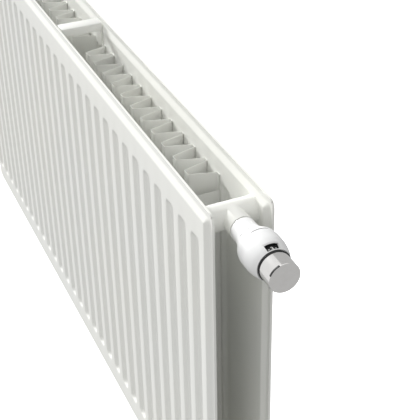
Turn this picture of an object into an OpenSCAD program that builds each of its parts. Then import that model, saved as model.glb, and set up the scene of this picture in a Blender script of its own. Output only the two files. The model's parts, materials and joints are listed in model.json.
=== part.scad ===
// Steel panel radiator, two water panels with one convector between them,
// with a thermostatic valve head on the tee at its top right end.
// X runs along the length towards the valve end, Y from the room to the wall, Z up.

/* [Panels] */
// Length of the panels over their end flanges
panel_length = 1000; // [600:100:1400]
// Height of the panels over their flanges
panel_height = 500; // [400:50:700]
// Depth from the front face to the back face
body_depth = 74; // [70:1:90]
// Thickness of the pressed steel sheets
sheet = 1.25; // [1:0.05:1.4]
// Height of the pressing above the seam flange
press_depth = 3.6; // [3.2:0.1:4.5]
// Width of the flat seam flange all round
flange_w = 6; // [5:0.5:8]
// Width of the bevel between the flange and the face
bevel_w = 7; // [5:0.5:8]
// Corner radius of the seam flange
corner_r = 9; // [5:1:12]

/* [Channels] */
// Number of vertical water channels
channels = 30; // [20:1:40]
// Distance from the flange edge to the first channel
end_margin = 18.6; // [17:0.1:22]
// Width of a pressed recess at the face
recess_w = 20.4; // [16:0.2:22]
// Width of a pressed recess at its floor
recess_floor_w = 10.4; // [8:0.2:12]
// Distance from the flange edge to the ends of the recesses
recess_margin = 40; // [36:1:60]
// Channels at each end where the inner sheets stay flat
plain_channels = 2; // [2:1:4]

/* [Convector] */
// Thickness of the convector sheet
fin_sheet = 0.6; // [0.4:0.1:0.8]
// Depth of the convector wave
fin_depth = 31; // [25:1:34]
// Top of the convector below the top of the panels
fin_top = 31; // [28:1:50]
// Bottom of the convector above the bottom of the panels
fin_bottom = 46; // [44:1:60]
// Width of the welded crests
weld_crest = 6; // [4:1:8]
// Width of the free crests
free_crest = 10; // [6:1:12]
// Drop of the straight web at each end
end_web_drop = 19; // [8:1:30]

/* [Tees and connections] */
// Distance from the panel end to the tee centre
tee_inset = 34.1; // [33.1:0.1:36.1]
// Diameter of a round tee body
tee_size = 28; // [28:1:30]
// Height of the tee centre below the panel top
tee_drop = 26; // [25:1:28]
// Outer radius of a threaded socket
socket_r = 13.5; // [12.5:0.5:13.5]
// Wall radius of a G1/2 socket
socket_bore_r = 9.5; // [9.3:0.1:9.8]
// Distance from the panel end to the socket mouth
mouth_inset = 6.6; // [4:0.2:10]
// Distance between the two bottom connections
stub_pitch = 50; // [50:1:50]
// Radius of a G3/4 connection stub
stub_r = 13.2; // [13:0.1:13.3]

/* [Valve head] */
// Distance from the front face to the head axis
head_y = 38.4; // [36:0.2:40]
// Length of the white housing
housing_length = 51.6; // [50:0.2:56]
// Greatest radius of the white housing
housing_r = 22; // [21:0.5:25]
// Radius of the chrome knob
knob_r = 16.3; // [15:0.1:17]
// Length of the chrome knob
knob_length = 20; // [16:1:24]
// Valve travel each way from the resting setting
valve_travel = 1.2; // [0.8:0.1:1.3]

/* [Wall lugs] */
// Distance of the lugs from the middle of the radiator
lug_x = 350; // [200:10:400]
// How far a lug stands off the back face
lug_depth = 12; // [10:1:16]

/* [Hidden] */
$fn = 64;
eps = 0.01;

white = [0.93, 0.94, 0.92];
plastic_white = [0.95, 0.95, 0.96];
black = [0.06, 0.06, 0.07];
brass = [0.80, 0.64, 0.34];
steel = [0.70, 0.71, 0.72];
chrome = [0.82, 0.82, 0.83];
rubber = [0.12, 0.12, 0.12];

// The panels in depth
panel_t = 2 * (press_depth + sheet);
gap_front = panel_t;
gap_back = body_depth - panel_t;
gap_mid = (gap_front + gap_back) / 2;
half_length = panel_length / 2;
pitch = (panel_length - 2 * end_margin) / (channels - 1);
first_channel = half_length - end_margin;

// The tees
tee_x = half_length - tee_inset;
mouth_x = half_length - mouth_inset;
top_z = panel_height - tee_drop;
low_z = tee_drop;
port_r = 4.5;
supply_r = 3.5;
supply_x = tee_x - 22.5;
outlet_x = tee_x - 5;
seat_x = tee_x - 10.9;
arm_r = 6.2;
elbow_r = 8.3;
cone_bore_r = 6.8;
cone_r = 6;
riser_y = 22;
riser_top = top_z - 19;
pipe_r = 7.5;
pipe_bore_r = 6;
chamber_r = 9.5;

// The valve insert, measured from the socket mouth
hex_t = 3;
insert_in = mouth_x - 28;
neck_end = mouth_x + 9;
pin_r = 2;
pin_end = mouth_x + 14.5;
cone_gap = valve_travel + 0.2;
cone_seal_x = seat_x + cone_gap;
cone_seal_t = 1.6;
cone_x = cone_seal_x + cone_seal_t;

// The head, measured from the socket mouth
collar_x = mouth_x + 1.6;
collar_end = mouth_x + 17;
housing_x = collar_end;
housing_end = housing_x + housing_length;
ring_t = 1.6;
knob_x = housing_end + 0.4 + ring_t;
knob_end = knob_x + knob_length;
wall = 1.8;
sleeve_r = 16.7;
sleeve_bore_r = 15.5;
sleeve_x = housing_end - 13;
window_x = housing_end - 9;
window_half = 24;
shoulder = 11;
sensor_r = 12;
carrier_r = 13.6;
carrier_x = housing_x + shoulder + valve_travel + 0.2;
sensor_end = carrier_x + 26;
carrier_end = sensor_end + 7.5;

// The whole part stands centred on the origin
x_low = -half_length - 5.4;
x_high = knob_end;
y_high = body_depth + lug_depth;
x_mid = (x_low + x_high) / 2;
y_mid = y_high / 2;

module place() translate([-x_mid, -y_mid, 0]) children();

// Along X from x0, at a place in Y and Z
module along_x(x0, y, z) translate([x0, y, z]) rotate([0, 90, 0]) children();

// A round bar along X
module bar_x(x0, x1, y, z, r) along_x(x0, y, z) cylinder(r = r, h = x1 - x0);

// A tube along X
module tube_x(x0, x1, y, z, r, bore) {
    difference() {
        bar_x(x0, x1, y, z, r);
        bar_x(x0 - 1, x1 + 1, y, z, bore);
    }
}

// A turned part about an X axis, drawn as [radius, distance] points
module turned_x(x0, y, z, points) along_x(x0, y, z) rotate_extrude() polygon(points);

function channel_x(k) = first_channel - pitch * k;

end_web_lean = 1.5;

// ---- pressed sheets ----

module rounded_plate(w, h, r) {
    translate([-w / 2 + r, -h / 2]) square([w - 2 * r, h]);
    translate([-w / 2, -h / 2 + r]) square([w, h - 2 * r]);
    for (sx = [-1, 1], sz = [-1, 1]) translate([sx * (w / 2 - r), sz * (h / 2 - r)]) circle(r);
}

// A block bevelled on its four sides, from y0 (wide) to y1 (narrow)
module bevelled_block(y0, y1, inset0, inset1) {
    a = half_length - inset0;
    b = half_length - inset1;
    c = panel_height / 2 - inset0;
    d = panel_height / 2 - inset1;
    intersection() {
        linear_extrude(panel_height)
            polygon([[-a, y0], [a, y0], [b, y1], [-b, y1]]);
        translate([-half_length, 0, panel_height / 2]) rotate([90, 0, 90]) linear_extrude(panel_length)
            polygon([[y0, -c], [y0, c], [y1, d], [y1, -d]]);
    }
}

// One long recess with round ends, from y0 (half width w0) to y1 (half width w1)
module recess(x, y0, y1, w0, w1) {
    z0 = recess_margin + w0;
    z1 = panel_height - recess_margin - w0;
    translate([x, 0, z0]) linear_extrude(z1 - z0)
        polygon([[-w0, y0], [w0, y0], [w1, y1], [-w1, y1]]);
    for (z = [z0, z1]) translate([x, y0, z]) rotate([-90, 0, 0])
        cylinder(r1 = w0, r2 = w1, h = y1 - y0, $fn = 32);
}

// A pressed sheet with its face at y = 0 and its flange behind it
module pressed_sheet(first, last) {
    slope = (recess_w - recess_floor_w) / 2 / press_depth;
    side = sheet * sqrt(1 + 1 / (slope * slope)) * slope;
    rim = bevel_w / press_depth;
    rim_side = sheet * sqrt(1 + 1 / (rim * rim)) * rim;
    face_inset = flange_w + bevel_w;
    difference() {
        union() {
            translate([0, press_depth + sheet, panel_height / 2]) rotate([90, 0, 0])
                linear_extrude(sheet) rounded_plate(panel_length, panel_height, corner_r);
            bevelled_block(press_depth + eps, 0, flange_w, face_inset);
        }
        for (k = [first : last]) recess(channel_x(k + 0.5), -eps, press_depth,
            recess_w / 2, recess_floor_w / 2);
        difference() {
            bevelled_block(press_depth + sheet + eps, sheet,
                face_inset - rim * (press_depth + eps) + rim_side - rim * sheet, face_inset - rim * sheet + rim_side);
            for (k = [first : last]) recess(channel_x(k + 0.5), sheet - eps, press_depth + sheet + 2 * eps,
                recess_w / 2 - slope * sheet + side, recess_w / 2 - slope * (press_depth + sheet) + side);
        }
    }
}

// Water holes where the four tees join a sheet
module tee_ports(y, valve_x) {
    for (p = [[valve_x, top_z], [-tee_x, top_z], [-tee_x, low_z], [return_x, low_z]])
        translate([p[0], y, p[1]]) rotate([-90, 0, 0]) cylinder(r = port_r, h = 3 * sheet, center = true);
}

return_x = supply_x - stub_pitch;

module front_panel_face_sheet() color(white) place() pressed_sheet(0, channels - 2);

module front_panel_back_sheet() color(white) place() difference() {
    translate([0, panel_t, 0]) mirror([0, 1, 0]) pressed_sheet(plain_channels, channels - 2 - plain_channels);
    tee_ports(gap_front - sheet / 2, outlet_x);
}

module rear_panel_inner_sheet() color(white) place() difference() {
    translate([0, gap_back, 0]) pressed_sheet(plain_channels, channels - 2 - plain_channels);
    tee_ports(gap_back + sheet / 2, outlet_x);
}

module rear_panel_back_sheet() color(white) place()
    translate([0, body_depth, 0]) mirror([0, 1, 0]) pressed_sheet(0, channels - 2);

// ---- convector ----

function unit(v) = v / norm(v);
function left_of(v) = [-v[1], v[0]];
function side_step(a, b, c, t) =
    let (n = unit(left_of(unit(b - a))), m = unit(left_of(unit(c - b)))) b + t * (n + m) / (1 + n * m);

// A bent strip of one thickness along a path
module bent_strip(path, t) {
    n = len(path);
    near = [for (i = [0 : n - 1]) side_step(path[max(i - 1, 0)] + (i == 0 ? path[0] - path[1] : [0, 0]),
        path[i], path[min(i + 1, n - 1)] + (i == n - 1 ? path[n - 1] - path[n - 2] : [0, 0]), t)];
    polygon(concat(path, [for (i = [n - 1 : -1 : 0]) near[i]]));
}

// One wave, from a welded crest to the next one on its right
function wave(x) = let (w = weld_crest / 2, f = free_crest / 2) [
    [x - w, gap_back], [x + w, gap_back],
    [x + pitch / 2 - f, gap_back - fin_depth], [x + pitch / 2 + f, gap_back - fin_depth]];

function wave_path(k_left, k_right) = concat(
    [for (k = [k_left : -1 : k_right + 1]) each wave(channel_x(k))],
    [[channel_x(k_right) - weld_crest / 2, gap_back], [channel_x(k_right) + weld_crest / 2, gap_back]]);

module fins(path, top) translate([0, 0, fin_bottom])
    linear_extrude(panel_height - top - fin_bottom) bent_strip(path, -fin_sheet);

// The last weld crest with the straight web beyond it
function end_path(x) = let (w = weld_crest / 2)
    [[x - w, gap_back], [x + w, gap_back], [x + w + end_web_lean, gap_back - fin_depth]];

module convector_right() color(white) place() {
    fins(wave_path(channels / 2 - 1, 3), fin_top);
    fins(end_path(channel_x(3)), fin_top + end_web_drop);
}

module convector_left() color(white) place() mirror([1, 0, 0]) {
    fins(wave_path(channels / 2 - 1, 3), fin_top);
    fins(end_path(channel_x(3)), fin_top + end_web_drop);
}

// ---- strap and lugs ----

strap_w = 20;
strap_top = panel_height - 2;
strap_t = 2;
strap_leg = 34;
strap_web = 11;

module bridge_strap() color(white) place() {
    translate([-strap_w / 2, gap_front, strap_top - strap_t]) cube([strap_w, gap_back - gap_front, strap_t]);
    for (y = [gap_front, gap_back - strap_t]) translate([-strap_w / 2, y, strap_top - strap_leg])
        cube([strap_w, strap_t, strap_leg]);
    translate([strap_w / 2 - strap_t, gap_front, strap_top - strap_web])
        cube([strap_t, gap_back - gap_front, strap_web]);
}

lug_w = 24;
lug_t = 2.5;
lug_foot = 26;
lug_lip = 22;

// A hook whose lip points down, welded by its upper foot
module lug(x, z) translate([x - lug_w / 2, body_depth, z]) {
    cube([lug_w, lug_t, lug_foot]);
    cube([lug_w, lug_depth, lug_t]);
    translate([0, lug_depth - lug_t, -lug_lip + lug_t]) cube([lug_w, lug_t, lug_lip]);
}

module hanging_lugs() color(white) place()
    for (sx = [-1, 1], z = [60, panel_height - 100]) lug(sx * channel_near(lug_x), z);

function channel_near(x) = (floor((x - pitch / 2) / pitch) + 0.5) * pitch;

// ---- tees and pipework ----

// A round bar along Y
module bar_y(x, y0, y1, z, r) translate([x, y0, z]) rotate([-90, 0, 0]) cylinder(r = r, h = y1 - y0);

module cross_body(x, z) bar_y(x, gap_front, gap_back, z, tee_size / 2);

module port_y(x, z, r) bar_y(x, gap_front - 1, gap_back + 1, z, r);

// A tee with a socket that faces along -X, at the left end
module end_tee(z) {
    difference() {
        union() {
            cross_body(-tee_x, z);
            bar_x(-mouth_x, -tee_x, gap_mid, z, socket_r);
        }
        bar_x(-mouth_x - 1, -tee_x + port_r, gap_mid, z, socket_bore_r);
        port_y(-tee_x, z, port_r);
    }
}

module vent_tee() color(white) place() end_tee(top_z);

module drain_tee() color(white) place() end_tee(low_z);

// A round bar between two points
module bar_between(a, b, r) {
    v = b - a;
    translate(a) rotate([0, acos(v[2] / norm(v)), atan2(v[1], v[0])]) cylinder(r = r, h = norm(v));
}

arm_start = [seat_x - 2.6, head_y, top_z - 1.5];
elbow = [supply_x, riser_y, riser_top + 9];

// The valve tee, with the arm behind its seat and the elbow that takes the riser
module valve_tee() color(white) place() difference() {
    union() {
        cross_body(tee_x, top_z);
        bar_x(tee_x, mouth_x, head_y, top_z, socket_r);
        bar_between(arm_start, elbow, arm_r);
        translate(arm_start) sphere(arm_r + 0.3);
        translate(elbow) sphere(elbow_r);
        translate([supply_x, riser_y, riser_top]) cylinder(r = elbow_r, h = elbow[2] - riser_top);
    }
    bar_x(insert_in - 0.6, mouth_x + 1, head_y, top_z, chamber_r);
    bar_x(seat_x, insert_in, head_y, top_z, cone_bore_r);
    bar_x(seat_x - 4, seat_x + 1, head_y, top_z, supply_r);
    bar_between(arm_start, elbow, supply_r - 0.5);
    port_y(outlet_x, top_z, port_r);
    translate([supply_x, riser_y, riser_top - 1]) cylinder(r = pipe_bore_r, h = elbow[2] - riser_top + 1);
}

module riser_pipe() color(white) place() translate([supply_x, riser_y, 0]) difference() {
    translate([0, 0, flow_top]) cylinder(r = pipe_r, h = riser_top - flow_top);
    translate([0, 0, flow_top - 1]) cylinder(r = pipe_bore_r, h = panel_height);
}

stub_end = 2;
plate_z = 15;
plate_t = 2;
block_z = plate_z + plate_t;
flow_top = block_z + 20;
stub_bore_r = 9;
block_w = 27;

module flow_block() color(white) place() difference() {
    translate([supply_x - block_w / 2, riser_y - 9, block_z]) cube([block_w, gap_mid - riser_y + 22, 20]);
    translate([supply_x, gap_mid, block_z - 1]) cylinder(r = stub_bore_r, h = 14);
    translate([supply_x, riser_y, block_z + 10]) cylinder(r = pipe_bore_r, h = 12);
    bar_y(supply_x, riser_y, gap_mid, block_z + 10, port_r);
}

module return_tee() color(white) place() difference() {
    translate([return_x - block_w / 2, gap_front, block_z])
        cube([block_w, gap_back - gap_front, low_z + tee_size / 2 - block_z]);
    port_y(return_x, low_z, port_r);
    translate([return_x, gap_mid, block_z - 1]) cylinder(r = stub_bore_r, h = low_z - block_z + 4);
}

module connection_plate() color(white) place() difference() {
    translate([return_x - 18, gap_mid - 17, plate_z]) cube([stub_pitch + 36, 34, plate_t]);
    for (x = [return_x, supply_x]) translate([x, gap_mid, plate_z - 1]) cylinder(r = stub_bore_r + 1, h = 4);
}

// A threaded stub that points down, with a spigot through the plate
module stub(x) translate([x, gap_mid, 0]) difference() {
    union() {
        translate([0, 0, stub_end]) cylinder(r = stub_r, h = plate_z - stub_end);
        translate([0, 0, plate_z - eps]) cylinder(r = stub_bore_r + 0.95, h = plate_t + eps);
    }
    translate([0, 0, stub_end - 1]) cylinder(r = stub_bore_r - 1, h = 30);
    translate([0, 0, stub_end - eps]) cylinder(r1 = stub_bore_r + 1.5, r2 = stub_bore_r - 1, h = 5);
}

module flow_stub() color(brass) place() stub(supply_x);

module return_stub() color(brass) place() stub(return_x);

// ---- plugs and vent ----

seal_t = 1.6;
plug_x = -mouth_x - seal_t;
hex_r = 12.4;

module plug_body(z) {
    along_x(plug_x - 3, gap_mid, z) cylinder(r = hex_r, h = 3, $fn = 6);
    bar_x(plug_x - eps, -mouth_x + 12, gap_mid, z, socket_bore_r - 0.05);
}

module blank_plug() color(chrome) place() difference() {
    plug_body(low_z);
    bar_x(-mouth_x + 3, -mouth_x + 13, gap_mid, low_z, socket_bore_r - 2.5);
    along_x(plug_x - 4, gap_mid, low_z) cylinder(r = 4.6, h = 4, $fn = 6);
}

vent_seat = plug_x + 4;
bleed_r = 2.5;
spigot_r = 5;

module vent_plug() color(chrome) place() difference() {
    union() {
        plug_body(top_z);
        bar_x(plug_x - 4.5, plug_x - 2, gap_mid, top_z, spigot_r);
    }
    bar_x(plug_x - 5, vent_seat + 2, gap_mid, top_z, bleed_r + 0.05);
    bar_x(vent_seat + 1, -mouth_x + 13, gap_mid, top_z, 1);
    bar_x(-mouth_x + 3, -mouth_x + 13, gap_mid, top_z, socket_bore_r - 2.5);
}

module plug_seals() color(rubber) place() for (z = [low_z, top_z])
    tube_x(-mouth_x - seal_t, -mouth_x, gap_mid, z, socket_r - 1.3, socket_bore_r + 0.1);

module bleed_screw() color(brass) place() {
    bar_x(plug_x - 4.6, vent_seat + 0.8, gap_mid, top_z, bleed_r);
    translate([x_low, gap_mid - 1.7, top_z - 1.7]) cube([plug_x - 4.5 - x_low, 3.4, 3.4]);
}

module vent_nozzle() color(plastic_white) place() difference() {
    union() {
        bar_x(plug_x - 4.4, plug_x - 3.1, gap_mid, top_z, 8.4);
        translate([plug_x - 4.4, gap_mid - 1.8, top_z - 12.5]) cube([1.3, 3.6, 8]);
    }
    bar_x(plug_x - 5, plug_x - 2, gap_mid, top_z, spigot_r + 0.08);
}

// ---- valve insert ----

spring_in = insert_in + 2.5;
stop_x = mouth_x - 8.5;
neck_r = 8.2;
grip_r = 10.85;
grip_t = 0.8;
running = 0.06;
seal_r = 0.7;
seal_x = mouth_x - 2.4;

module insert_body() color(brass) place() difference() {
    union() {
        bar_x(insert_in, mouth_x, head_y, top_z, chamber_r - 0.05);
        along_x(mouth_x, head_y, top_z) cylinder(r = hex_r - 1, h = hex_t, $fn = 6);
        bar_x(mouth_x, neck_end, head_y, top_z, neck_r);
        bar_x(neck_end - grip_t, neck_end, head_y, top_z, grip_r);
    }
    bar_x(spring_in, mouth_x - 4, head_y, top_z, 6.4);
    bar_x(insert_in - 1, mouth_x + 3, head_y, top_z, pin_r + running);
    bar_x(mouth_x + 2, neck_end + 1, head_y, top_z, 5);
    tube_x(seal_x - seal_r, seal_x + seal_r, head_y, top_z, chamber_r + 1, chamber_r - 2 * seal_r);
}

module insert_seal() color(rubber) place()
    along_x(seal_x, head_y, top_z) rotate_extrude() translate([chamber_r - seal_r, 0]) circle(r = seal_r, $fn = 24);

module gland_nut() color(brass) place() difference() {
    union() {
        bar_x(mouth_x + 4.2, neck_end, head_y, top_z, 4.95);
        along_x(neck_end, head_y, top_z) cylinder(r = 6.2, h = 2.4, $fn = 6);
    }
    bar_x(mouth_x + 4, neck_end + 3, head_y, top_z, pin_r + running);
}

module spindle_seal() color(rubber) place()
    tube_x(mouth_x + 2.1, mouth_x + 4.1, head_y, top_z, 4.8, pin_r + running);

module valve_pin() color(steel) place() {
    bar_x(cone_x, pin_end, head_y, top_z, pin_r);
    bar_x(stop_x, stop_x + 1, head_y, top_z, 5.4);
}

module valve_cone() color(brass) place() difference() {
    bar_x(cone_x, cone_x + 3, head_y, top_z, cone_r);
    bar_x(cone_x, cone_x + 4, head_y, top_z, pin_r);
}

module cone_seal() color(rubber) place() bar_x(cone_seal_x, cone_x, head_y, top_z, cone_r);

// A coil about the X axis as rings of points swept in one body
module coil_x(x0, x1, y, z, r, wire, turns) {
    sides = 8;
    steps = 20 * turns;
    rise = (x1 - x0 - 2 * wire) / steps;
    rings = [for (i = [0 : steps]) let (a = i * 18) for (j = [0 : sides - 1]) let (b = j * 360 / sides)
        [x0 + wire + i * rise + wire * sin(b), y + (r + wire * cos(b)) * cos(a), z + (r + wire * cos(b)) * sin(a)]];
    skin = [for (i = [0 : steps - 1], j = [0 : sides - 1]) let (m = (j + 1) % sides)
        [i * sides + j, i * sides + m, (i + 1) * sides + m, (i + 1) * sides + j]];
    polyhedron(rings, concat(skin, [[for (j = [sides - 1 : -1 : 0]) j]],
        [[for (j = [0 : sides - 1]) steps * sides + j]]));
}

module return_spring() color(steel) place()
    coil_x(spring_in, stop_x, head_y, top_z, 4.4, 0.5, 5);

module preset_ring() color(plastic_white) place()
    tube_x(mouth_x + hex_t + 0.3, neck_end - grip_t - 0.3, head_y, top_z, 10.5, neck_r + running);

// ---- thermostatic head ----

collar_r = 13.6;
screw_x = collar_x + 4.5;
screw_z = top_z - collar_r + 1.4;

module clamp_collar() color(plastic_white) place() difference() {
    turned_x(collar_x, head_y, top_z, [[11.8, 0], [12.8, 0], [collar_r - 0.1, 1.2], [collar_r, 7],
        [14.1, collar_end - collar_x], [10.9, collar_end - collar_x], [10.9, 6], [11.8, 5]]);
    translate([collar_x - 1, head_y - 0.6, top_z - 20]) cube([9, 1.2, 12]);
    bar_y(screw_x, head_y - 20, head_y + 20, screw_z, 1.3);
}

module collar_screw() color(steel) place() bar_y(screw_x, head_y - 4.6, head_y + 4.6, screw_z, 1.25);

// Outer line of the housing, as [radius, distance from its start]
housing_line = [[14.1, 0], [14.6, 1], [16.8, 7.5], [19.8, 13], [housing_r - 0.6, 18], [housing_r, 24],
    [housing_r, 33], [housing_r - 0.4, 38], [20.5, 44], [18.2, housing_end - housing_x]];

module head_housing() color(plastic_white) place() difference() {
    turned_x(housing_x, head_y, top_z, concat(housing_line, [[17, housing_end - housing_x], [18.6, 44],
        [housing_r - wall - 0.4, 38], [housing_r - wall, 33], [housing_r - wall, 24],
        [housing_r - wall - 1, 18], [17.4, 13], [16.6, shoulder], [10.8, shoulder], [10.8, 0]]));
    along_x(window_x, head_y, top_z) rotate([0, 0, 180 - window_half])
        rotate_extrude(angle = 2 * window_half) translate([15, 0]) square([10, 20]);
}

module guide_sleeve() color(plastic_white) place()
    tube_x(housing_x + shoulder, carrier_end, head_y, top_z, 15.2, carrier_r + 0.08);

core_r = 9;
core_x = carrier_end + 1.6;
thread_r = 6.4;
thread_length = 12;

module sensor_carrier() color(black) place() difference() {
    union() {
        bar_x(carrier_x, carrier_end - 2, head_y, top_z, carrier_r);
        bar_x(carrier_end - 3, core_x + thread_length, head_y, top_z, thread_r);
    }
    bar_x(carrier_x + 2, sensor_end + 4, head_y, top_z, sensor_r + 0.1);
    bar_x(carrier_x - 1, carrier_x + 3, head_y, top_z, 3.3);
}

module sensor() color(steel) place() {
    bar_x(carrier_x + 2, sensor_end, head_y, top_z, sensor_r);
    bar_x(pin_end, carrier_x + 3, head_y, top_z, 3);
}

module overtravel_spring() color(steel) place()
    coil_x(sensor_end, sensor_end + 4, head_y, top_z, 8, 0.6, 3);

knob_floor = 2.2;

module knob_core() color(black) place() difference() {
    union() {
        bar_x(core_x, knob_end - knob_floor, head_y, top_z, core_r);
        bar_x(core_x, core_x + 2, head_y, top_z, sleeve_bore_r);
    }
    bar_x(core_x - 1, knob_end - 5, head_y, top_z, thread_r + running);
}

module scale_sleeve() color(black) place()
    tube_x(sleeve_x, knob_x, head_y, top_z, sleeve_r, sleeve_bore_r);

module trim_ring() color(black) place()
    tube_x(knob_x - ring_t, knob_x, head_y, top_z, 17.4, sleeve_r + 0.02);

module knob() color(chrome) place() difference() {
    turned_x(knob_x, head_y, top_z, [[0, 0], [knob_r, 0], [knob_r, knob_length - 0.8],
        [knob_r - 0.8, knob_length], [0, knob_length]]);
    bar_x(knob_x - 1, knob_end - knob_floor, head_y, top_z, knob_r - wall);
}

front_panel_face_sheet();
front_panel_back_sheet();
rear_panel_inner_sheet();
rear_panel_back_sheet();
convector_right();
convector_left();
bridge_strap();
hanging_lugs();
valve_tee();
vent_tee();
drain_tee();
return_tee();
flow_block();
connection_plate();
flow_stub();
return_stub();
riser_pipe();
blank_plug();
vent_plug();
plug_seals();
bleed_screw();
vent_nozzle();
insert_body();
insert_seal();
gland_nut();
spindle_seal();
valve_pin();
valve_cone();
cone_seal();
return_spring();
preset_ring();
clamp_collar();
collar_screw();
head_housing();
guide_sleeve();
sensor_carrier();
sensor();
overtravel_spring();
knob_core();
scale_sleeve();
trim_ring();
knob();
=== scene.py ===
# Steel panel radiator with a thermostatic valve: pressed sheets, folded convectors, welded tees and a
# plastic valve head with a chrome knob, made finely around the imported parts.
import json
import math

import bmesh
import bpy
import numpy as np
from mathutils import Matrix, Vector

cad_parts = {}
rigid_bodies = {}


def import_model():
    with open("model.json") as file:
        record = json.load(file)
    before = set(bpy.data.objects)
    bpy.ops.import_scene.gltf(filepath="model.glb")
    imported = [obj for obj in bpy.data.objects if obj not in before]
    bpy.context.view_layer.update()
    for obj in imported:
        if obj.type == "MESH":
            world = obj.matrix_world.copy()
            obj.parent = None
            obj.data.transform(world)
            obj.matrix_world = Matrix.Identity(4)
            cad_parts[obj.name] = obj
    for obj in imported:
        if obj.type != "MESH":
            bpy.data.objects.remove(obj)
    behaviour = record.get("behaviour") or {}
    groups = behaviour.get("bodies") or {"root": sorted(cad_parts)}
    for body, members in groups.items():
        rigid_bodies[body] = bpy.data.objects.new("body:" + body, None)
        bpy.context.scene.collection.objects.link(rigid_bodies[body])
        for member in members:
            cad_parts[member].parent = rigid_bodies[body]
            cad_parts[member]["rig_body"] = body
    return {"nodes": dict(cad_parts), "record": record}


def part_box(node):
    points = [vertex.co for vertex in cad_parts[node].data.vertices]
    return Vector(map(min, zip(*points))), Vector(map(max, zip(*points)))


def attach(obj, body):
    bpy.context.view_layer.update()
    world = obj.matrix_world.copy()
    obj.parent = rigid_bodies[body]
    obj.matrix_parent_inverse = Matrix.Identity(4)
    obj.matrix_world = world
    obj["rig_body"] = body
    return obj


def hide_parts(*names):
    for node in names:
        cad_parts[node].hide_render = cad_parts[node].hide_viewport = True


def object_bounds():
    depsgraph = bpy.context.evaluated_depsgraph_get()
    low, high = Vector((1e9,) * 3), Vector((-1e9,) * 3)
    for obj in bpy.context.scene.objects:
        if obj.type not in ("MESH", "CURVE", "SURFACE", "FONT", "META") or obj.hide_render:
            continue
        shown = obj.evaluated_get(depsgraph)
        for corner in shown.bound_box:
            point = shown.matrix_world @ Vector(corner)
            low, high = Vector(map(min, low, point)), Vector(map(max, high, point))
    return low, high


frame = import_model()
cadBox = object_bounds()
print("frame loaded:", len(frame["nodes"]), "nodes")

mm = 0.001
subParts = {part["node"]: part["material_slot"] for part in frame["record"]["subparts"]}


# Node trees: a wire is one output socket, and sums written with wires add their Math nodes
class Wire:
    def __init__(self, tree, socket):
        self.tree = tree
        self.socket = socket

    def out(self, name):
        return Wire(self.tree, self.socket.node.outputs[name])

    def math(self, operation, *values):
        return self.tree.add("ShaderNodeMath", {"operation": operation}, dict(enumerate(values)))

    def __add__(self, other):
        return self.math("ADD", self, other)

    __radd__ = __add__

    def __sub__(self, other):
        return self.math("SUBTRACT", self, other)

    def __rsub__(self, other):
        return self.math("SUBTRACT", other, self)

    def __mul__(self, other):
        return self.math("MULTIPLY", self, other)

    __rmul__ = __mul__

    def __truediv__(self, other):
        return self.math("DIVIDE", self, other)

    def __rtruediv__(self, other):
        return self.math("DIVIDE", other, self)

    def __abs__(self):
        return self.math("ABSOLUTE", self)

    def atLeast(self, other):
        return self.math("MAXIMUM", self, other)

    def atMost(self, other):
        return self.math("MINIMUM", self, other)

    def held(self, low=0.0, high=1.0):
        return self.atLeast(low).atMost(high)

    def root(self):
        return self.math("SQRT", self)


class Tree:
    def __init__(self, nodeTree):
        self.nodeTree = nodeTree

    # one node: its settings first, then the values or wires of its sockets
    def add(self, kind, settings=None, values=None, output=0):
        node = self.nodeTree.nodes.new(kind)
        for name, setting in (settings or {}).items():
            setattr(node, name, setting)
        for name, value in (values or {}).items():
            if isinstance(value, Wire):
                self.nodeTree.links.new(value.socket, node.inputs[name])
            else:
                node.inputs[name].default_value = value
        return Wire(self, node.outputs[output]) if len(node.outputs) else None

    def vector(self, x, y, z):
        return self.add("ShaderNodeCombineXYZ", None, {0: x, 1: y, 2: z})

    def parts(self, vector):
        split = self.add("ShaderNodeSeparateXYZ", None, {0: vector})
        return split, split.out("Y"), split.out("Z")

    def blendColours(self, factor, first, second):
        return self.add("ShaderNodeMix", {"data_type": "RGBA"}, {0: factor, 6: first, 7: second}, 2)

    def noise(self, where, scale, detail=2.0, roughness=0.5):
        return self.add("ShaderNodeTexNoise", {"noise_dimensions": "3D"},
                        {"Vector": where, "Scale": scale, "Detail": detail, "Roughness": roughness})


# Finishes
def newFinish(name):
    material = bpy.data.materials.new(name)
    material.use_nodes = True
    material.node_tree.nodes.clear()
    return material, Tree(material.node_tree)


def closeFinish(tree, values, bumps):
    normal = None
    for height, strength, distance in bumps:
        inputs = {"Height": height, "Strength": strength, "Distance": distance}
        if normal is not None:
            inputs["Normal"] = normal
        normal = tree.add("ShaderNodeBump", None, inputs)
    if normal is not None:
        values["Normal"] = normal
    shader = tree.add("ShaderNodeBsdfPrincipled", None, values)
    tree.add("ShaderNodeOutputMaterial", None, {"Surface": shader})


# Stoved enamel: a satin coat with orange peel, faint mottling and pools of slightly yellower paint
def enamelFinish(name, look):
    material, tree = newFinish(name)
    where = tree.add("ShaderNodeTexCoord").out("Object")
    mottle = tree.noise(where, look["mottleScale"], 3.0)
    pool = tree.noise(where, look["poolScale"], 1.0)
    shade = tree.blendColours((mottle * 1.6 - 0.3).held(), look["colour"], look["mottleColour"])
    shade = tree.blendColours((pool * 2.4 - 0.9).held() * 0.5, shade, look["poolColour"])
    peel = tree.noise(where, look["peelScale"], 2.0, 0.55)
    waviness = tree.noise(where, look["wavinessScale"], 1.0)
    roughness = look["roughness"] + (mottle - 0.5) * look["mottleGloss"] + (peel - 0.5) * look["peelGloss"]
    values = {"Base Color": shade, "Roughness": roughness, "Specular IOR Level": look["specular"],
              "Coat Weight": look["coat"], "Coat Roughness": look["coatRoughness"]}
    closeFinish(tree, values, [(waviness, look["wavinessStrength"], look["wavinessHeight"]),
                               (peel, look["peelStrength"], look["peelHeight"])])
    return material


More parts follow.
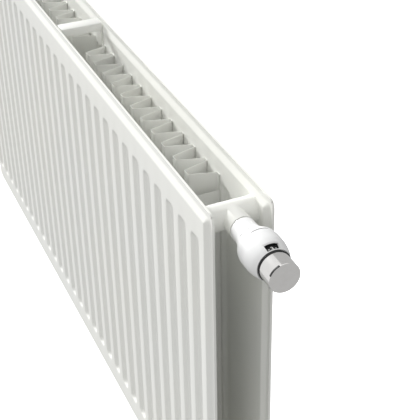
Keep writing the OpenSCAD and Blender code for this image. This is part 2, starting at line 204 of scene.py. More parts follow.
# Moulded plastic: spark-eroded grain, a little uneven gloss and faint flow marks, with an emission that paints
# a glow on it where the look asks for one
def plasticFinish(name, look):
    material, tree = newFinish(name)
    where = tree.add("ShaderNodeTexCoord").out("Object")
    grain = tree.noise(where, look["grainScale"], 2.0, 0.6)
    flow = tree.noise(where, look["flowScale"], 3.0)
    shade = tree.blendColours((flow * 1.5 - 0.25).held(), look["colour"], look["flowColour"])
    roughness = look["roughness"] + (grain - 0.5) * look["grainGloss"] + (flow - 0.5) * look["flowGloss"]
    # the emission strength is painted light, a glow with no lamp behind it; it is zero on the mouldings
    values = {"Base Color": shade, "Roughness": roughness, "Coat Weight": look["coat"],
              "Coat Roughness": look["coatRoughness"], "Emission Color": look["colour"],
              "Emission Strength": look["glow"]}
    closeFinish(tree, values, [(grain, look["grainStrength"], look["grainHeight"])])
    return material


# Turned or plated metal: rings round the axis it was turned on, with light handling marks
def turnedFinish(name, look):
    material, tree = newFinish(name)
    where = tree.add("ShaderNodeTexCoord").out("Object")
    x, y, z = tree.parts(where)
    fromY, fromZ = y - look["axisY"], z - look["axisZ"]
    radius = (fromY * fromY + fromZ * fromZ).root()
    rings = tree.noise(tree.vector(x * look["ringScale"], radius * look["ringScale"], 0.0), 1.0, 3.0, 0.7)
    marks = tree.noise(where, look["markScale"], 4.0, 0.6)
    shade = tree.blendColours((marks * 1.8 - 0.4).held(), look["colour"], look["markColour"])
    roughness = look["roughness"] + (rings - 0.5) * look["ringGloss"] + (marks - 0.5) * look["markGloss"]
    values = {"Base Color": shade, "Metallic": 1.0, "Roughness": roughness.held(0.02, 1.0)}
    closeFinish(tree, values, [(rings, look["ringStrength"], look["ringHeight"])])
    return material


# Soft black sealing rubber with bloom
def rubberFinish(name, look):
    material, tree = newFinish(name)
    where = tree.add("ShaderNodeTexCoord").out("Object")
    bloom = tree.noise(where, look["bloomScale"], 4.0, 0.6)
    shade = tree.blendColours((bloom * 2.0 - 0.7).held(), look["colour"], look["bloomColour"])
    roughness = look["roughness"] + (bloom - 0.5) * look["bloomGloss"]
    closeFinish(tree, {"Base Color": shade, "Roughness": roughness},
                [(bloom, look["bloomStrength"], look["bloomHeight"])])
    return material


knobLow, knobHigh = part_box("knob")
headY = (knobLow.y + knobHigh.y) / 2
headZ = (knobLow.z + knobHigh.z) / 2

enamelLook = {"colour": (0.86, 0.865, 0.835, 1), "mottleColour": (0.83, 0.838, 0.805, 1),
              "poolColour": (0.865, 0.862, 0.80, 1), "roughness": 0.33, "coat": 0.12, "coatRoughness": 0.12,
              "specular": 0.45, "mottleGloss": 0.10, "peelGloss": 0.06,
              "mottleScale": 14.0, "poolScale": 5.0, "peelScale": 900.0, "wavinessScale": 22.0,
              "wavinessStrength": 0.25, "wavinessHeight": 0.12 * mm,
              "peelStrength": 0.35, "peelHeight": 0.02 * mm}
whitePlasticLook = {"colour": (0.84, 0.842, 0.84, 1), "flowColour": (0.82, 0.824, 0.822, 1),
                    "roughness": 0.32, "coat": 0.1, "coatRoughness": 0.1, "glow": 0.0,
                    "flowScale": 55.0, "flowGloss": 0.08,
                    "grainScale": 2600.0, "grainGloss": 0.12, "grainStrength": 0.25, "grainHeight": 0.03 * mm}
blackPlasticLook = dict(whitePlasticLook, colour=(0.012, 0.012, 0.013, 1), flowColour=(0.02, 0.02, 0.021, 1),
                        roughness=0.42, coat=0.05, grainScale=2200.0, grainStrength=0.4)
chromeLook = {"colour": (0.92, 0.91, 0.90, 1), "markColour": (0.88, 0.865, 0.85, 1), "roughness": 0.15,
              "axisY": headY, "axisZ": headZ, "markScale": 130.0, "markGloss": 0.06,
              "ringScale": 5200.0, "ringGloss": 0.10, "ringStrength": 0.12, "ringHeight": 0.01 * mm}
nickelLook = dict(chromeLook, colour=(0.66, 0.64, 0.60, 1), markColour=(0.60, 0.58, 0.54, 1), roughness=0.24,
                  ringGloss=0.18, ringStrength=0.3)
brassLook = dict(nickelLook, colour=(0.70, 0.49, 0.20, 1), markColour=(0.60, 0.40, 0.15, 1))
steelLook = dict(nickelLook, colour=(0.56, 0.57, 0.58, 1), markColour=(0.50, 0.50, 0.51, 1), roughness=0.3)
aluminiumLook = dict(nickelLook, colour=(0.74, 0.75, 0.76, 1), markColour=(0.68, 0.69, 0.70, 1),
                     roughness=0.34)
rubberLook = {"colour": (0.012, 0.012, 0.012, 1), "bloomColour": (0.035, 0.035, 0.034, 1), "roughness": 0.72,
              "bloomScale": 220.0, "bloomGloss": 0.2, "bloomStrength": 0.4, "bloomHeight": 0.04 * mm}

finishes = {
    "white_enamel": enamelFinish("stovedEnamel", enamelLook),
    "white_plastic": plasticFinish("whiteMoulding", whitePlasticLook),
    "black_plastic": plasticFinish("blackMoulding", blackPlasticLook),
    "chrome": turnedFinish("satinChrome", chromeLook),
    "nickel": turnedFinish("nickelPlate", nickelLook),
    "brass": turnedFinish("turnedBrass", brassLook),
    "steel": turnedFinish("drawnSteel", steelLook),
    "aluminium": turnedFinish("drawnAluminium", aluminiumLook),
    "rubber": rubberFinish("sealRubber", rubberLook),
}
# pale print with painted light: an emission of 0.35 makes the numbers and dots glow so they read bright in the
# shaded window
printFinish = plasticFinish("palePrint", dict(whitePlasticLook, colour=(0.80, 0.80, 0.79, 1),
                                              flowColour=(0.72, 0.72, 0.71, 1), roughness=0.55, glow=0.35))
for name, node in frame["nodes"].items():
    node.data.materials.clear()
    node.data.materials.append(finishes[subParts[name]])
print("finishes ready:", len(finishes))


# Pieces
def addPiece(name, mesh, body, slotName, replaced=(), smoothAngle=35, finish=None):
    mesh.name = name
    mesh.materials.clear()
    mesh.materials.append(finish or finishes[slotName])
    mesh.shade_smooth()
    mesh.set_sharp_from_angle(angle=math.radians(smoothAngle))
    piece = bpy.data.objects.new(name, mesh)
    bpy.context.scene.collection.objects.link(piece)
    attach(piece, body)
    if replaced:
        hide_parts(*replaced)
    return piece


def bodyOf(node):
    return frame["nodes"][node]["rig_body"]


# a node group with named inputs, its own input node and a last stage that realises and paints
def newGrowth(name, inputs):
    group = bpy.data.node_groups.new(name, "GeometryNodeTree")
    group.interface.new_socket("Geometry", in_out="INPUT", socket_type="NodeSocketGeometry")
    for label, value in inputs.items():
        kind = "NodeSocketInt" if isinstance(value, int) else "NodeSocketFloat"
        group.interface.new_socket(label, in_out="INPUT", socket_type=kind)
    group.interface.new_socket("Finish", in_out="INPUT", socket_type="NodeSocketMaterial")
    group.interface.new_socket("Geometry", in_out="OUTPUT", socket_type="NodeSocketGeometry")
    tree = Tree(group)
    return tree, tree.add("NodeGroupInput")


def closeGrowth(tree, source, geometry):
    whole = tree.add("GeometryNodeRealizeInstances", None, {"Geometry": geometry})
    painted = tree.add("GeometryNodeSetMaterial", None, {"Geometry": whole, "Material": source.out("Finish")})
    tree.add("NodeGroupOutput", None, {"Geometry": painted})


# runs a node group on a start mesh and gives the plain mesh that comes out
def grownMesh(name, tree, sizes, finish, startMesh=None, wall=0.0, wallOffset=0.0, evenWall=False):
    start = bpy.data.objects.new(name + "Start", startMesh or bpy.data.meshes.new(name + "Start"))
    bpy.context.scene.collection.objects.link(start)
    growth = start.modifiers.new("growth", "NODES")
    growth.node_group = tree.nodeTree
    values = dict(sizes, Finish=finish)
    for socket in tree.nodeTree.interface.items_tree:
        if socket.in_out == "INPUT" and socket.name in values:
            growth[socket.identifier] = values[socket.name]
    if wall:
        shell = start.modifiers.new("wall", "SOLIDIFY")
        shell.thickness = wall
        shell.offset = wallOffset
        shell.use_even_offset = evenWall
    graph = bpy.context.evaluated_depsgraph_get()
    mesh = bpy.data.meshes.new_from_object(start.evaluated_get(graph), depsgraph=graph)
    bpy.data.objects.remove(start)
    return mesh


# a flat sheet of quads in the XZ plane with lines where they are needed, facing -Y
def lineSheet(name, xLines, zLines):
    columns, rows = len(xLines), len(zLines)
    points = [(x, 0.0, z) for z in zLines for x in xLines]
    faces = [(r * columns + c, r * columns + c + 1, (r + 1) * columns + c + 1, (r + 1) * columns + c)
             for r in range(rows - 1) for c in range(columns - 1)]
    mesh = bpy.data.meshes.new(name)
    mesh.from_pydata(points, [], faces)
    return mesh


# Pressed sheets of the two water panels
frontLow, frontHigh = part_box("front_panel_face_sheet")
panelHeight = frontHigh.z - frontLow.z
panelLength = frontHigh.x - frontLow.x
panelX = (frontLow.x + frontHigh.x) / 2
panelZ = (frontLow.z + frontHigh.z) / 2

pressing = {"channels": 30, "endMargin": 18.6 * mm, "sheet": 1.25 * mm, "plainChannels": 2,
            "Corner": 9.0 * mm, "Flange": 6.0 * mm, "Bevel": 7.0 * mm, "Depth": 3.6 * mm, "Bend": 0.9 * mm,
            "RecessWidth": 20.4 * mm, "RecessSide": 5.0 * mm, "RecessMargin": 40.0 * mm,
            "RecessCorner": 7.0 * mm}
pitch = (panelLength - 2 * pressing["endMargin"]) / (pressing["channels"] - 1)
firstChannel = panelLength / 2 - pressing["endMargin"]


# rises from 0 to 1 between two distances, with a rounded bend at each end
def bentRamp(along, start, end, bend):
    def lifted(distance):
        share = (distance / bend * 0.5 + 0.5).held()
        return distance * share + bend * share * (1 - share)
    return (lifted(along - start) - lifted(along - end)) / (end - start)


# how far a point lies inside a rounded rectangle
def insideRounded(overX, overZ, corner):
    outX, outZ = overX.atLeast(0.0), overZ.atLeast(0.0)
    return corner - (outX * outX + outZ * outZ).root() - overX.atLeast(overZ).atMost(0.0)


pressedInputs = {"Length": panelLength, "Height": panelHeight, "Pitch": pitch, "FirstChannel": firstChannel,
                 "FirstRecess": 0, "LastRecess": 28, "Facing": -1.0, "FaceY": 0.0, "CentreX": panelX,
                 "CentreZ": panelZ, **{k: v for k, v in pressing.items() if k[0].isupper()}}


def pressedTree():
    tree, source = newGrowth("pressedSheet", pressedInputs)
    size = {name: source.out(name) for name in pressedInputs}
    x, _, z = tree.parts(tree.add("GeometryNodeInputPosition"))
    corner, bend = size["Corner"], size["Bend"]
    straightX, straightZ = size["Length"] / 2 - corner, size["Height"] / 2 - corner
    overX, overZ = abs(x) - straightX, abs(z) - straightZ
    outX, outZ = overX.atLeast(0.0), overZ.atLeast(0.0)
    pull = (corner / (outX * outX + outZ * outZ).root().atLeast(0.0001)).atMost(1.0)
    newX = x.math("SIGN", x) * (abs(x).atMost(straightX) + outX * pull)
    newZ = z.math("SIGN", z) * (abs(z).atMost(straightZ) + outZ * pull)
    edge = insideRounded(overX, overZ, corner)
    rim = 1 - bentRamp(edge, size["Flange"], size["Flange"] + size["Bevel"], bend)
    along = (size["FirstChannel"] - x) / size["Pitch"] - 0.5
    number = along.math("ROUND", along).atLeast(size["FirstRecess"]).atMost(size["LastRecess"])
    fromRecess = abs(x - size["FirstChannel"] + size["Pitch"] * (number + 0.5))
    recessCorner = size["RecessCorner"]
    recess = insideRounded(fromRecess - size["RecessWidth"] / 2 + recessCorner,
                           abs(z) - size["Height"] / 2 + size["RecessMargin"] + recessCorner, recessCorner)
    sunk = bentRamp(recess, 0.0, size["RecessSide"], bend)
    depth = rim.atLeast(sunk) * size["Depth"]
    newY = size["FaceY"] - depth * size["Facing"]
    place = tree.vector(newX + size["CentreX"], newY, newZ + size["CentreZ"])
    moved = tree.add("GeometryNodeSetPosition", None, {"Geometry": source.out("Geometry"), "Position": place})
    closeGrowth(tree, source, moved)
    return tree


def pressedLines(half, recessPlaces):
    bend, flange = pressing["Bend"], pressing["Flange"]
    face = flange + pressing["Bevel"]
    side = pressing["RecessSide"]
    rim = [0, 0.4 * mm, 1.4 * mm, 3.0 * mm, 4.5 * mm]
    rim += [flange - 0.7 * bend, flange, flange + 0.7 * bend, (flange + face) / 2]
    rim += [face - 0.7 * bend, face, face + 0.7 * bend, face + 2 * bend]
    steps = [corner + share * bend for corner in (0, side) for share in (-1, -0.33, 0.33, 1)]
    lines = [half - r for r in rim] + [r - half for r in rim]
    for place, way in recessPlaces:
        lines += [place - way * step for step in steps]
    return sorted(lines)


sheetTree = pressedTree()
recessHalf = pressing["RecessWidth"] / 2
recessX = [firstChannel - pitch * (k + 0.5) for k in range(pressing["channels"] - 1)]
recessEnd = panelHeight / 2 - pressing["RecessMargin"]
xLines = pressedLines(panelLength / 2, [(x + way * recessHalf, way) for x in recessX for way in (-1, 1)])
zLines = pressedLines(panelHeight / 2, [(way * recessEnd, way) for way in (-1, 1)])
zLines += [-100 * mm, 0.0, 100 * mm]
zLines = sorted(zLines + [way * (recessEnd - inset * mm) for way in (-1, 1) for inset in (2, 3, 7.5, 9)])

plain = pressing["plainChannels"]
lastRecess = pressing["channels"] - 2
sheets = {
    "frontFaceSheet": ("front_panel_face_sheet", -1.0, 0, lastRecess),
    "frontBackSheet": ("front_panel_back_sheet", 1.0, plain, lastRecess - plain),
    "rearInnerSheet": ("rear_panel_inner_sheet", -1.0, plain, lastRecess - plain),
    "rearBackSheet": ("rear_panel_back_sheet", 1.0, 0, lastRecess),
}
for name, (node, facing, firstRecess, endRecess) in sheets.items():
    low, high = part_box(node)
    sizes = dict(pressedInputs, Facing=facing, FirstRecess=firstRecess, LastRecess=endRecess,
                 FaceY=low.y if facing < 0 else high.y)
    start = lineSheet(name, xLines, zLines)
    if facing > 0:
        start.flip_normals()
    mesh = grownMesh(name, sheetTree, sizes, finishes["white_enamel"], start, pressing["sheet"], -1.0)
    addPiece(name, mesh, bodyOf(node), subParts[node], [node], 50)
print("pressed sheets made")

# Folded convectors between the panels
folding = {"Depth": 31.0 * mm, "WeldCrest": 6.0 * mm, "FreeCrest": 10.0 * mm, "Bend": 0.9 * mm,
           "Wall": 0.4 * mm, "EndDrop": 19.0 * mm, "EndLean": 1.5 * mm, "columnsPerWave": 44}
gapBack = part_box("rear_panel_inner_sheet")[0].y
foldInputs = {"Length": 1.0, "Height": 0.4, "Columns": 400, "Pitch": pitch, "CentreX": 0.0, "CentreZ": 0.2,
              "CrestX": 0.0, "CrestY": gapBack, "EndX": 0.0, "EndWay": 1.0,
              **{k: v for k, v in folding.items() if k[0].isupper()}}


def convectorTree():
    tree, source = newGrowth("foldedConvector", foldInputs)
    size = {name: source.out(name) for name in foldInputs}
    grid = tree.add("GeometryNodeMeshGrid", None, {"Size X": size["Length"], "Size Y": size["Height"],
                                                   "Vertices X": size["Columns"], "Vertices Y": 12})
    x, up, _ = tree.parts(tree.add("GeometryNodeInputPosition"))
    worldX = x + size["CentreX"]
    turns = (worldX - size["CrestX"]) / size["Pitch"]
    fromCrest = abs(turns - turns.math("ROUND", turns)) * size["Pitch"]
    free = bentRamp(fromCrest, size["WeldCrest"] / 2, size["Pitch"] / 2 - size["FreeCrest"] / 2, size["Bend"])
    worldY = size["CrestY"] - size["Wall"] / 2 - free * (size["Depth"] - size["Wall"])
    waves = tree.add("GeometryNodeSetPosition", None, {
        "Geometry": grid, "Position": tree.vector(worldX, worldY, size["CentreZ"] + up)})
    webGrid = tree.add("GeometryNodeMeshGrid", None, {
        "Size X": size["Depth"], "Size Y": size["Height"] - size["EndDrop"],
        "Vertices X": 30, "Vertices Y": 12})
    fromCrest = x + size["Depth"] / 2
    bend = (1 - fromCrest / size["Bend"]).held()
    lean = fromCrest / size["Depth"] * size["EndLean"] - bend * bend * size["Bend"] / 2
    webX = size["EndX"] + size["EndWay"] * lean
    webY = size["CrestY"] - size["Wall"] / 2 - fromCrest
    webZ = size["CentreZ"] - size["EndDrop"] / 2 + up
    web = tree.add("GeometryNodeSetPosition", None, {
        "Geometry": webGrid, "Position": tree.vector(webX, webY, webZ)})
    strip = tree.add("GeometryNodeJoinGeometry", None, {"Geometry": waves})
    tree.nodeTree.links.new(web.socket, strip.socket.node.inputs["Geometry"])
    closeGrowth(tree, source, strip)
    return tree


foldTree = convectorTree()
for name, node, way in (("rightConvector", "convector_right", 1), ("leftConvector", "convector_left", -1)):
    low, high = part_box(node)
    innerX, outerX = (low.x, high.x) if way > 0 else (high.x, low.x)
    endX = outerX - way * folding["EndLean"]
    length = abs(endX - innerX)
    sizes = dict(foldInputs, Length=length, Height=high.z - low.z,
                 Columns=round(length / pitch) * folding["columnsPerWave"],
                 CentreX=(innerX + endX) / 2, CentreZ=(low.z + high.z) / 2,
                 CrestX=endX - way * folding["WeldCrest"] / 2,
                 EndX=endX - way * folding["Wall"] / 2, EndWay=float(way))
    mesh = grownMesh(name, foldTree, sizes, finishes["white_enamel"], None, folding["Wall"], 0.0, True)
    addPiece(name, mesh, bodyOf(node), subParts[node], [node], 40)
print("convectors folded")


# Welded and machined parts keep their shape and get broken edges
def softened(name, node, width, segments=2, smoothAngle=40, finish=None):
    mesh = frame["nodes"][node].data.copy()
    work = bmesh.new()
    work.from_mesh(mesh)
    bmesh.ops.remove_doubles(work, verts=work.verts, dist=0.000002)
    bmesh.ops.dissolve_limit(work, angle_limit=math.radians(1.0), verts=work.verts, edges=work.edges)
    work.to_mesh(mesh)
    work.free()
    start = bpy.data.objects.new(name + "Start", mesh)
    bpy.context.scene.collection.objects.link(start)
    bevel = start.modifiers.new("edges", "BEVEL")
    bevel.width = width
    bevel.segments = segments
    bevel.limit_method = "ANGLE"
    bevel.angle_limit = math.radians(40)
    bevel.use_clamp_overlap = True
    graph = bpy.context.evaluated_depsgraph_get()
    made = bpy.data.meshes.new_from_object(start.evaluated_get(graph), depsgraph=graph)
    bpy.data.objects.remove(start)
    return addPiece(name, made, bodyOf(node), subParts[node], [node], smoothAngle, finish)


edgeBreaks = {"bridge_strap": 0.7, "hanging_lugs": 0.6, "valve_tee": 0.9, "vent_tee": 0.9, "drain_tee": 0.9,
              "return_tee": 0.9, "flow_block": 0.9, "connection_plate": 0.5, "blank_plug": 0.4,
              "vent_plug": 0.4, "bleed_screw": 0.25, "vent_nozzle": 0.3, "gland_nut": 0.25, "preset_ring": 0.3}
for node, width in edgeBreaks.items():
    words = node.split("_")
    softened(words[0] + "".join(word.capitalize() for word in words[1:]), node, width * mm)
print("edges broken on", len(edgeBreaks), "parts")

# Weld beads where the round tees meet the inner sheets
welding = {"BeadRadius": 0.8 * mm, "Ripple": 0.14, "Step": 0.8 * mm, "mouthToTee": 27.5 * mm}
beadInputs = {"Around": 0.014, "CentreX": 0.0, "CentreY": 0.0, "CentreZ": 0.0,
              **{k: v for k, v in welding.items() if k[0].isupper()}}


def beadTree():
    tree, source = newGrowth("weldBead", beadInputs)
    size = {name: source.out(name) for name in beadInputs}
    path = tree.add("GeometryNodeCurvePrimitiveCircle", None, {"Resolution": 90, "Radius": size["Around"]})
    path = tree.add("GeometryNodeResampleCurve", {"mode": "LENGTH"}, {"Curve": path, "Length": size["Step"]})
    number = tree.add("GeometryNodeInputIndex")
    swell = 1 + size["Ripple"] * number.math("SINE", number * 2.1)
    section = tree.add("GeometryNodeCurvePrimitiveCircle", None, {
        "Resolution": 8, "Radius": size["BeadRadius"]})
    bead = tree.add("GeometryNodeCurveToMesh", None, {
        "Curve": path, "Profile Curve": section, "Scale": swell})
    centre = tree.vector(size["CentreX"], size["CentreY"], size["CentreZ"])
    stood = tree.add("GeometryNodeTransform", None, {"Geometry": bead, "Translation": centre,
                                                     "Rotation": (math.pi / 2, 0, 0)})
    closeGrowth(tree, source, stood)
    return tree


weldTree = beadTree()
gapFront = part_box("front_panel_back_sheet")[1].y
for node, end in (("valve_tee", 1), ("vent_tee", -1), ("drain_tee", -1)):
    low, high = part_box(node)
    around = (high.z - low.z) / 2 if end < 0 else high.z - headZ
    mouth = high.x if end > 0 else low.x
    for side, gapY in (("Front", gapFront), ("Rear", gapBack)):
        name = node.split("_")[0] + side + "Weld"
        sizes = dict(beadInputs, Around=around, CentreX=mouth - end * welding["mouthToTee"], CentreY=gapY,
                     CentreZ=high.z - around)
        bead = grownMesh(name, weldTree, sizes, finishes["white_enamel"])
        addPiece(name, bead, bodyOf(node), "white_enamel", smoothAngle=60)
print("welds laid")

# Outlines of the turned parts of the valve head, as distances along the axis and radii
collarLow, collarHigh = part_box("clamp_collar")
housingLow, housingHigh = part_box("head_housing")
ringLow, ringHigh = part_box("trim_ring")
sleeveLow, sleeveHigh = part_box("scale_sleeve")


def smoothLine(points, steps=6):
    line = []
    ends = [points[0]] + list(points) + [points[-1]]
    for a, b, c, d in zip(ends, ends[1:], ends[2:], ends[3:]):
        for i in range(steps):
            t = i / steps
            line.append(tuple(0.5 * (2 * q + (r - p) * t + (2 * p - 5 * q + 4 * r - s) * t * t
                                     + (3 * q - p - 3 * r + s) * t ** 3) for p, q, r, s in zip(a, b, c, d)))
    return line + [points[-1]]


# a surface turned round the head axis from an outline; its radius may change with the angle
def turnedMesh(name, outline, segments, shape=None, closed=False, gap=None):
    points, faces = [], []
    angles = [2 * math.pi * k / segments for k in range(segments)]
    for x, radius in outline:
        for angle in angles:
            r = shape(x, radius, angle) if shape else radius
            points.append((x, headY + r * math.sin(angle), headZ + r * math.cos(angle)))
    rows = len(outline)
    for i in range(rows if closed else rows - 1):
        for k in range(segments):
            if gap and gap(outline[i][0], angles[k] + math.pi / segments):
                continue
            j, m = (i + 1) % rows, (k + 1) % segments
            faces.append((i * segments + k, i * segments + m, j * segments + m, j * segments + k))
    mesh = bpy.data.meshes.new(name)
    mesh.from_pydata(points, [], faces)
    work = bmesh.new()
    work.from_mesh(mesh)
    bmesh.ops.remove_doubles(work, verts=work.verts, dist=0.000001)
    bmesh.ops.recalc_face_normals(work, faces=work.faces)
    work.to_mesh(mesh)
    work.free()
    return mesh


def degreesOff(angle, middle):
    return abs((math.degrees(angle) - middle + 180) % 360 - 180)


# the seam line between moulded parts: a fine slot over part of the way round
def seamDepth(x, angle, seam):
    across = 1 - min(1.0, abs(x - seam["x"]) / seam["half"])
    along = min(1.0, max(0.0, (seam["span"] - degreesOff(angle, seam["middle"])) / 4))
    return seam["depth"] * min(1.0, 2 * across) * along


headShape = {
    "segments": 120,
    "collarLine": [(0, 12.2), (0.5, 12.9), (1.4, 13.4), (3.0, 13.55), (8.0, 13.65), (12.5, 13.85),
                   (16.2, 14.05)],
    "collarGap": 0.8 * mm,
    "housingLine": [(0, 13.9), (0.4, 14.35), (1, 14.6), (3, 15.2), (5, 15.85), (7.5, 16.7), (10, 17.9),
                    (13, 19.6), (16, 20.9), (19, 21.6), (24, 22.0), (33, 22.0), (38, 21.6), (44, 20.5),
                    (48, 19.3), (51.6, 17.8)],
    "wall": 1.6 * mm, "windowStart": 8.0 * mm, "windowEnd": 0.8 * mm, "windowHalf": 22.5,
    "windowBevel": 1.1 * mm, "windowDip": 0.8 * mm, "stripProud": 0.04 * mm, "stripWall": 0.3 * mm,
    "seams": [{"x": 7.4 * mm, "half": 0.5 * mm, "depth": 1.5 * mm, "middle": -32.5, "span": 29},
              {"x": 20.0 * mm, "half": 0.5 * mm, "depth": 1.5 * mm, "middle": 1, "span": 28}],
}


def outlineAt(line, startX, extra=()):
    smooth = smoothLine([(x * mm, r * mm) for x, r in line])
    places = sorted({round(x, 6) for x, _ in smooth} | {round(x, 6) for x in extra})
    radii = np.interp(places, [x for x, _ in smooth], [r for _, r in smooth])
    return [(startX + x, float(r)) for x, r in zip(places, radii)]


segments = headShape["segments"]
collarStart = collarLow.x - headShape["collarGap"]
collarLine = outlineAt(headShape["collarLine"], collarStart)
collarLine += [(collarHigh.x, 10.95 * mm), (collarLow.x + 6 * mm, 10.95 * mm),
               (collarLow.x + 5 * mm, 11.9 * mm), (collarStart, 11.9 * mm)]
addPiece("clampCollar", turnedMesh("clampCollar", collarLine, segments, closed=True), bodyOf("clamp_collar"),
         subParts["clamp_collar"], ["clamp_collar"], 40)

seams = headShape["seams"]
seamLines = [seam["x"] + step * seam["half"] for seam in seams for step in (-1, -0.5, 0, 0.5, 1)]
windowX = housingHigh.x - headShape["windowStart"]
windowEnd = housingHigh.x - headShape["windowEnd"]
windowBevel = headShape["windowBevel"]
windowLines = [windowX - windowBevel, windowX, windowEnd]
windowLines = [x - housingLow.x for x in windowLines]
housingLine = outlineAt(headShape["housingLine"], housingLow.x, seamLines + windowLines)


def housingRadius(x, radius, angle):
    dip = 0.0
    if degreesOff(angle, 0) < headShape["windowHalf"] + 1:
        dip = headShape["windowDip"] * min(1.0, max(0.0, (x - windowX + windowBevel) / windowBevel))
        dip *= x < windowX + 0.00001
    return radius - dip - sum(seamDepth(x - housingLow.x, angle, seam) for seam in seams)


def inWindow(x, angle):
    return windowX - 0.00001 < x < windowEnd - 0.00001 and degreesOff(angle, 0) < headShape["windowHalf"]


# gives an open turned surface its wall, inwards
def walled(name, mesh, thickness):
    start = bpy.data.objects.new(name + "Start", mesh)
    bpy.context.scene.collection.objects.link(start)
    shell = start.modifiers.new("wall", "SOLIDIFY")
    shell.thickness = thickness
    shell.offset = -1.0
    graph = bpy.context.evaluated_depsgraph_get()
    made = bpy.data.meshes.new_from_object(start.evaluated_get(graph), depsgraph=graph)
    bpy.data.objects.remove(start)
    return made


housingMesh = turnedMesh("headHousing", housingLine, segments, housingRadius, gap=inWindow)
addPiece("headHousing", walled("headHousing", housingMesh, headShape["wall"]), bodyOf("head_housing"),
         subParts["head_housing"], ["head_housing"], 32)

# painted shade: dark strips in the seams, a hair proud of the housing, that paint the shade inside the slots
# between the mouldings
for name, seam in zip(("rearSeamStrip", "frontSeamStrip"), seams):
    stripX = [housingLow.x + seam["x"] + step * seam["half"] for step in (-0.95, 0, 0.95)]
    stripRadii = np.interp(stripX, [x for x, _ in housingLine], [r for _, r in housingLine])
    stripRadii += headShape["stripProud"]
    strip = turnedMesh(name, list(zip(stripX, stripRadii.tolist())), 240,
                       gap=lambda x, angle: degreesOff(angle, seam["middle"]) > seam["span"] - 3)
    addPiece(name, walled(name, strip, headShape["stripWall"]), bodyOf("head_housing"), "black_plastic")

ringRadius = (ringHigh.z - ringLow.z) / 2
knobRadius = (knobHigh.z - knobLow.z) / 2
ringLine = [(ringLow.x, ringRadius - 0.9 * mm), (ringLow.x + 0.2 * mm, ringRadius - 0.5 * mm),
            (ringLow.x + 0.5 * mm, ringRadius - 0.3 * mm), (ringHigh.x - 0.5 * mm, ringRadius - 0.3 * mm),
            (ringHigh.x - 0.1 * mm, ringRadius - 0.7 * mm),
            (ringHigh.x, ringRadius - 2.2 * mm), (ringLow.x, ringRadius - 2.2 * mm)]
addPiece("trimRing", turnedMesh("trimRing", ringLine, segments, closed=True), bodyOf("trim_ring"),
         subParts["trim_ring"], ["trim_ring"], 40)

chamfer = 0.9 * mm
knobLine = [(knobLow.x, knobRadius - 1.8 * mm), (knobLow.x, knobRadius - 0.25 * mm),
            (knobLow.x + 0.25 * mm, knobRadius)]
knobLine += [(knobHigh.x - chamfer * (1 - math.sin(a)), knobRadius - chamfer * (1 - math.cos(a)))
             for a in [math.pi / 2 * k / 5 for k in range(6)]]
knobLine += [(knobHigh.x, r * mm) for r in (14.0, 11.0, 8.0, 5.0, 2.5, 0.8)] + [(knobHigh.x, 0.0)]
knobLine += [(knobHigh.x - 2 * mm, 0.0), (knobHigh.x - 2 * mm, knobRadius - 1.8 * mm)]
addPiece("knobCap", turnedMesh("knobCap", knobLine, segments, closed=True), bodyOf("knob"), subParts["knob"],
         ["knob"], 30)

# A painted reflection: a dark stroke on the rounded rim of the knob, a hair proud of it, standing in for the
# dark reflection the chamfer shows
rimMark = {"middle": -43.5, "half": 23.5, "proud": 0.04 * mm, "depth": 0.15 * mm, "onSide": 1.3 * mm}
rimReflectionLine = [(knobHigh.x - chamfer - rimMark["onSide"], knobRadius + rimMark["proud"])]
rimReflectionLine += [(knobHigh.x - chamfer + (chamfer + rimMark["proud"]) * math.sin(a),
              knobRadius - chamfer + (chamfer + rimMark["proud"]) * math.cos(a))
             for a in [math.radians(12 * k) for k in range(6)]]
rimReflectionMesh = turnedMesh("rimMark", rimReflectionLine, 240,
                      gap=lambda x, angle: degreesOff(angle, rimMark["middle"]) > rimMark["half"])
addPiece("rimMark", walled("rimMark", rimReflectionMesh, rimMark["depth"]), bodyOf("knob"), "black_plastic")
print("valve head turned")

# Numbers and dots on the scale sleeve, seen through the window
dial = {"numbers": 7, "spacing": 50.0, "digitHeight": 5.0 * mm, "proud": 0.06 * mm,
        "Dots": 25, "PerNumber": 4, "DotRadius": 0.6 * mm, "DotHeight": 0.12 * mm}
sleeveRadius = (sleeveHigh.z - sleeveLow.z) / 2
dialX = windowX + 4.0 * mm


def wrappedPrint(name, flat, degrees):
    for vertex in flat.vertices:
        angle = math.radians(degrees) + vertex.co.x / sleeveRadius
        radius = sleeveRadius + (dial["proud"] if vertex.co.z > 0 else -0.02 * mm)
        vertex.co = (dialX - vertex.co.y, headY + radius * math.sin(angle), headZ + radius * math.cos(angle))
    return flat


digits = bmesh.new()
for number in range(dial["numbers"]):
    curve = bpy.data.curves.new("digit", "FONT")
    curve.body = str(number)
    curve.size = dial["digitHeight"] * 1.35
    curve.align_x = "CENTER"
    curve.align_y = "CENTER"
    curve.extrude = 0.0001
    text = bpy.data.objects.new("digit", curve)
    bpy.context.scene.collection.objects.link(text)
    graph = bpy.context.evaluated_depsgraph_get()
    flat = bpy.data.meshes.new_from_object(text.evaluated_get(graph), depsgraph=graph)
    bpy.data.objects.remove(text)
    digits.from_mesh(wrappedPrint("digit", flat, (number - (dial["numbers"] - 1) / 2) * dial["spacing"]))
digitMesh = bpy.data.meshes.new("scaleNumbers")
bmesh.ops.recalc_face_normals(digits, faces=digits.faces)
digits.to_mesh(digitMesh)
digits.free()
addPiece("scaleNumbers", digitMesh, bodyOf("scale_sleeve"), "white_plastic", finish=printFinish)

dotInputs = {"AtX": dialX, "AxisY": headY, "AxisZ": headZ, "Around": sleeveRadius,
             "Spacing": math.radians(dial["spacing"] / dial["PerNumber"]),
             **{k: v for k, v in dial.items() if k[0].isupper()}}


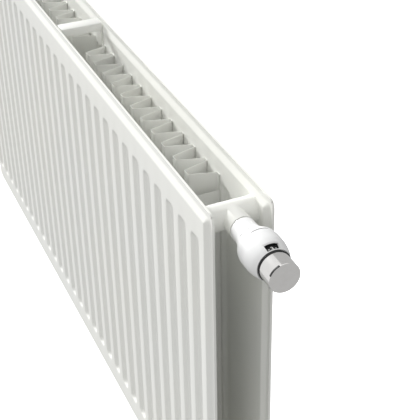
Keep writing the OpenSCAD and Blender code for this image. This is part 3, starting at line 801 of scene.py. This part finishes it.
def dotTree():
    tree, source = newGrowth("dialDots", dotInputs)
    size = {name: source.out(name) for name in dotInputs}
    row = tree.add("GeometryNodeMeshLine", None, {"Count": size["Dots"]})
    number = tree.add("GeometryNodeInputIndex")
    angle = (number - (size["Dots"] - 1) / 2) * size["Spacing"]
    spotY = size["AxisY"] + size["Around"] * angle.math("SINE", angle)
    spotZ = size["AxisZ"] + size["Around"] * angle.math("COSINE", angle)
    placed = tree.add("GeometryNodeSetPosition", None, {
        "Geometry": row, "Position": tree.vector(size["AtX"], spotY, spotZ)})
    disc = tree.add("GeometryNodeMeshCylinder", None, {"Vertices": 16, "Radius": size["DotRadius"],
                                                       "Depth": size["DotHeight"]})
    between = number.math("MODULO", number, size["PerNumber"])
    dots = tree.add("GeometryNodeInstanceOnPoints", None, {
        "Points": placed, "Selection": between, "Instance": disc,
        "Rotation": tree.vector(angle * -1.0, 0.0, 0.0)})
    closeGrowth(tree, source, dots)
    return tree


dotMesh = grownMesh("scaleDots", dotTree(), dotInputs, printFinish)
addPiece("scaleDots", dotMesh, bodyOf("scale_sleeve"), "white_plastic", finish=printFinish)
print("scale printed")

# Floor, light and camera
floorSize = 12.0
floorMesh = lineSheet("floor", [-floorSize, floorSize], [-floorSize, floorSize])
floorMesh.transform(Matrix.Rotation(-math.pi / 2, 4, "X"))
floorMesh.transform(Matrix.Translation((0, 0, cadBox[0].z - 0.0005)))
floor = bpy.data.objects.new("floor", floorMesh)
bpy.context.scene.collection.objects.link(floor)
floorFinish, floorTree = newFinish("paleFloor")
floorMesh.materials.append(floorFinish)

lighting = {"world": 0.48, "worldColour": (1.0, 1.0, 0.995, 1), "floorGlow": 0.7,
            "lamps": {"softKey": ((-0.92, -0.22, 0.33), 3.9, 12.0),
                      "wideFill": ((-0.45, -0.80, 0.38), 0.75, 120.0),
                      "topLight": ((0.25, -0.10, 0.96), 0.65, 100.0)}}
closeFinish(floorTree, {"Base Color": (0.93, 0.93, 0.93, 1), "Roughness": 0.9, "Specular IOR Level": 0.1,
                        "Emission Color": (1, 1, 1, 1), "Emission Strength": lighting["floorGlow"]}, [])
floor.visible_diffuse = False
floor.visible_glossy = False
world = bpy.data.worlds.new("studio")
bpy.context.scene.world = world
world.use_nodes = True
background = world.node_tree.nodes["Background"]
background.inputs["Color"].default_value = lighting["worldColour"]
background.inputs["Strength"].default_value = lighting["world"]
for name, (comesFrom, energy, spread) in lighting["lamps"].items():
    sunLight = bpy.data.lights.new(name, "SUN")
    sunLight.energy = energy
    sunLight.angle = math.radians(spread)
    sun = bpy.data.objects.new(name, sunLight)
    sun.rotation_mode = "QUATERNION"
    sun.rotation_quaternion = Vector(comesFrom).to_track_quat("Z", "Y")
    bpy.context.scene.collection.objects.link(sun)

viewing = {"azimuth": 66.39, "elevation": 33.095, "roll": 0.9665, "lens": 91.34,
           "fromCorner": (0.7704, -0.3351, 0.5572)}
azimuth, elevation, roll = (math.radians(viewing[name]) for name in ("azimuth", "elevation", "roll"))
level = math.cos(elevation)
ahead = Vector((-math.sin(azimuth) * level, math.cos(azimuth) * level, -math.sin(elevation)))
levelRight = Vector((math.cos(azimuth), math.sin(azimuth), 0))
levelUp = levelRight.cross(ahead)
right = levelRight * math.cos(roll) - levelUp * math.sin(roll)
up = right.cross(ahead)
cameraData = bpy.data.cameras.new("camera")
cameraData.lens = viewing["lens"]
cameraData.sensor_width = 36
cameraData.clip_start = 0.02
camera = bpy.data.objects.new("camera", cameraData)
turn = Matrix((right, up, -ahead)).transposed().to_4x4()
corner = Vector((frontHigh.x, frontLow.y, frontHigh.z))
camera.matrix_world = Matrix.Translation(corner + Vector(viewing["fromCorner"])) @ turn
bpy.context.scene.collection.objects.link(camera)
bpy.context.scene.camera = camera
bpy.context.scene.view_settings.view_transform = "Standard"
print("stage set")
